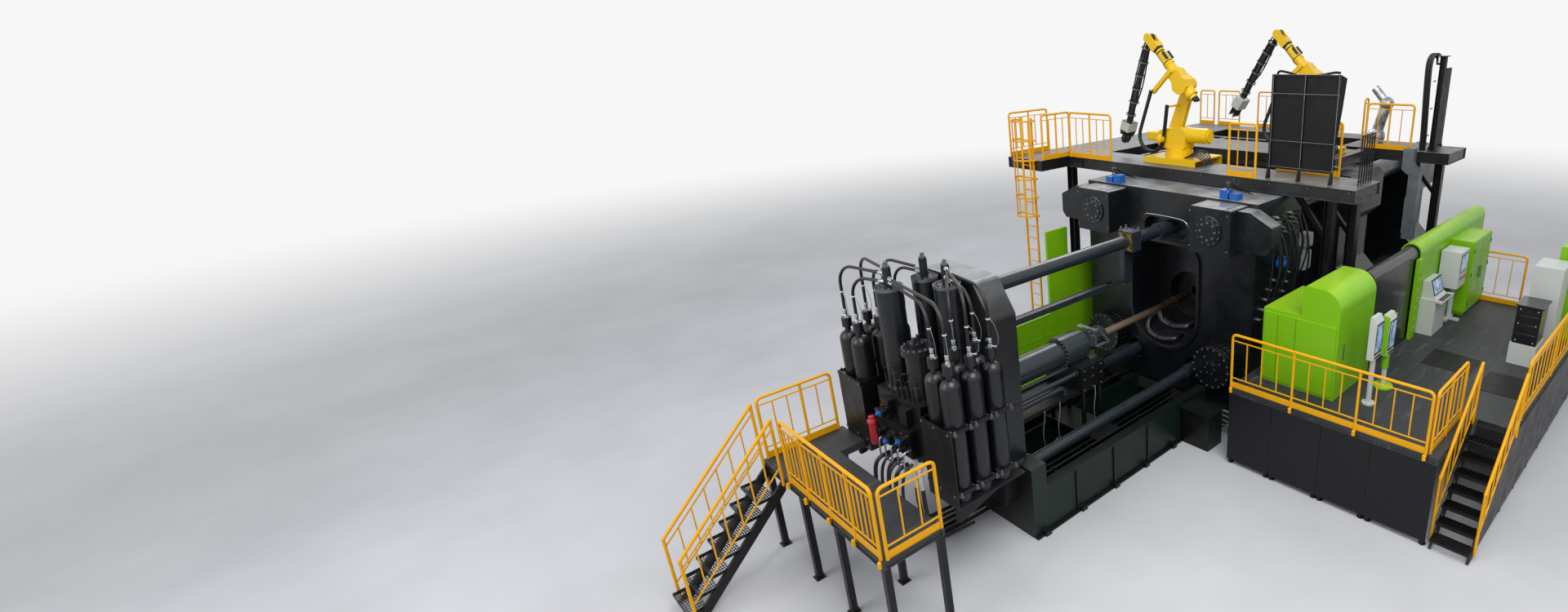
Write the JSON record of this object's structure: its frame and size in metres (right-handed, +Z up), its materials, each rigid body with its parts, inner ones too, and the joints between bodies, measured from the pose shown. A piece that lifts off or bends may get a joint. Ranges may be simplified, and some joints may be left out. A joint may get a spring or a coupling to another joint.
{
  "type": "die casting machine",
  "caption": "Large cold chamber die casting machine with shot cylinder, gas accumulators, platens, tie bars, operator platform, guards, top walkway and two handling robots.",
  "frame": {"origin": "on the floor under the machine's centre line, just in front of the fixed platen", "axes": "+X along the machine from the shot end to the clamp end, +Y away from the operator, +Z up"},
  "size_m": [20.9903, 11.7383, 7.7111],
  "materials": {
    "bed_black": "satin black enamel on welded steel",
    "cast_graphite": "satin graphite enamel on cast iron",
    "column_graphite": "semi-gloss grey graphite enamel",
    "plunger_steel": "ground steel, heat tinted",
    "bottle_black": "satin black paint",
    "hose_rubber": "smooth rubber hose",
    "deck_plate": "textured anti-slip plate",
    "rail_amber": "gloss amber paint",
    "guard_lime": "gloss lime powder coat",
    "door_black": "gloss black powder coat",
    "console_grey": "light grey powder coat",
    "screen_black": "matt black sheet steel",
    "zinc_sheet": "zinc grey sheet",
    "robot_yellow": "gloss yellow enamel on castings",
    "lance_black": "black sleeve over a steel lance",
    "cover_silver": "silver heat cover",
    "valve_blue": "blue anodised manifold"
  },
  "bodies": {
    "machine": {"base_frame": "bed_black", "clamp_base": "bed_black", "injection_plate": "cast_graphite", "column_tubes": "column_graphite", "shot_cylinder": "column_graphite", "shot_support": "bed_black", "shot_pipes": "column_graphite", "gas_bottles": "bottle_black", "bottle_racks": "bed_black", "piston_accumulators": "bottle_black", "hydraulic_manifold": "bed_black", "accumulator_hoses": "hose_rubber", "rear_deck": "deck_plate", "rear_legs": "bed_black", "rear_stair": "bed_black", "rear_rails": "rail_amber", "fixed_platen": "cast_graphite", "nut_housings": "cast_graphite", "tie_bar_drums": "cast_graphite", "tie_bars": "column_graphite", "moving_platen": "cast_graphite", "rear_platen": "cast_graphite", "toggle_links": "cast_graphite", "closing_cylinder": "column_graphite", "valve_blocks": "valve_blue", "operator_deck": "deck_plate", "operator_skirt": "bed_black", "operator_stair": "bed_black", "operator_rails": "rail_amber", "guard_end_box": "guard_lime", "guard_housing": "guard_lime", "control_cabinets": "guard_lime", "consoles": "console_grey", "top_posts": "bed_black", "top_deck": "bed_black", "top_rails": "rail_amber", "ladder": "rail_amber", "ladder_cage": "rail_amber", "spray_screens": "screen_black", "cable_duct": "zinc_sheet", "robot_pedestals": "robot_yellow", "covered_robot": "cover_silver", "far_guard": "guard_lime"},
    "shot_rod": {"shot_rod": "plunger_steel"},
    "guard_door": {"guard_door": "door_black"},
    "ladle_turret": {"ladle_turret": "robot_yellow"},
    "ladle_arm": {"ladle_arm": "robot_yellow", "ladle_hoses": "hose_rubber"},
    "ladle_forearm": {"ladle_forearm": "robot_yellow"},
    "ladle_tool": {"ladle_tool": "lance_black"},
    "spray_turret": {"spray_turret": "robot_yellow"},
    "spray_arm": {"spray_arm": "robot_yellow", "spray_hoses": "hose_rubber"},
    "spray_forearm": {"spray_forearm": "robot_yellow"},
    "spray_tool": {"spray_tool": "lance_black"}
  },
  "joints": [
    {"name": "plunger_slide", "type": "slide", "parent": "machine", "child": "shot_rod", "axis": [1, 0, 0], "range_m": [-1.5, 0]},
    {"name": "door_slide", "type": "slide", "parent": "machine", "child": "guard_door", "axis": [1, 0, 0], "range_m": [0, 2.1]},
    {"name": "ladle_swivel", "type": "hinge", "parent": "machine", "child": "ladle_turret", "pos_m": [1.92, 1, 5.08], "axis": [0, 0, 1], "range_deg": [-90, 15]},
    {"name": "ladle_shoulder", "type": "hinge", "parent": "ladle_turret", "child": "ladle_arm", "pos_m": [1.92, 1.32, 5.46], "axis": [1, 0, 0], "range_deg": [-3, 30]},
    {"name": "ladle_elbow", "type": "hinge", "parent": "ladle_arm", "child": "ladle_forearm", "pos_m": [1.92, 0.8959, 6.6252], "axis": [1, 0, 0], "range_deg": [-5, 25]},
    {"name": "ladle_wrist", "type": "hinge", "parent": "ladle_forearm", "child": "ladle_tool", "pos_m": [1.92, 1.8441, 7.6071], "axis": [1, 0, 0], "range_deg": [-5, 40]},
    {"name": "spray_swivel", "type": "hinge", "parent": "machine", "child": "spray_turret", "pos_m": [4.5, -0.75, 5.08], "axis": [0, 0, 1], "range_deg": [-90, 15]},
    {"name": "spray_shoulder", "type": "hinge", "parent": "spray_turret", "child": "spray_arm", "pos_m": [4.5, -0.43, 5.46], "axis": [1, 0, 0], "range_deg": [-3, 30]},
    {"name": "spray_elbow", "type": "hinge", "parent": "spray_arm", "child": "spray_forearm", "pos_m": [4.5, -0.8541, 6.6252], "axis": [1, 0, 0], "range_deg": [-5, 25]},
    {"name": "spray_wrist", "type": "hinge", "parent": "spray_forearm", "child": "spray_tool", "pos_m": [4.5, 0.0941, 7.6071], "axis": [1, 0, 0], "range_deg": [-5, 40]}
  ]
}
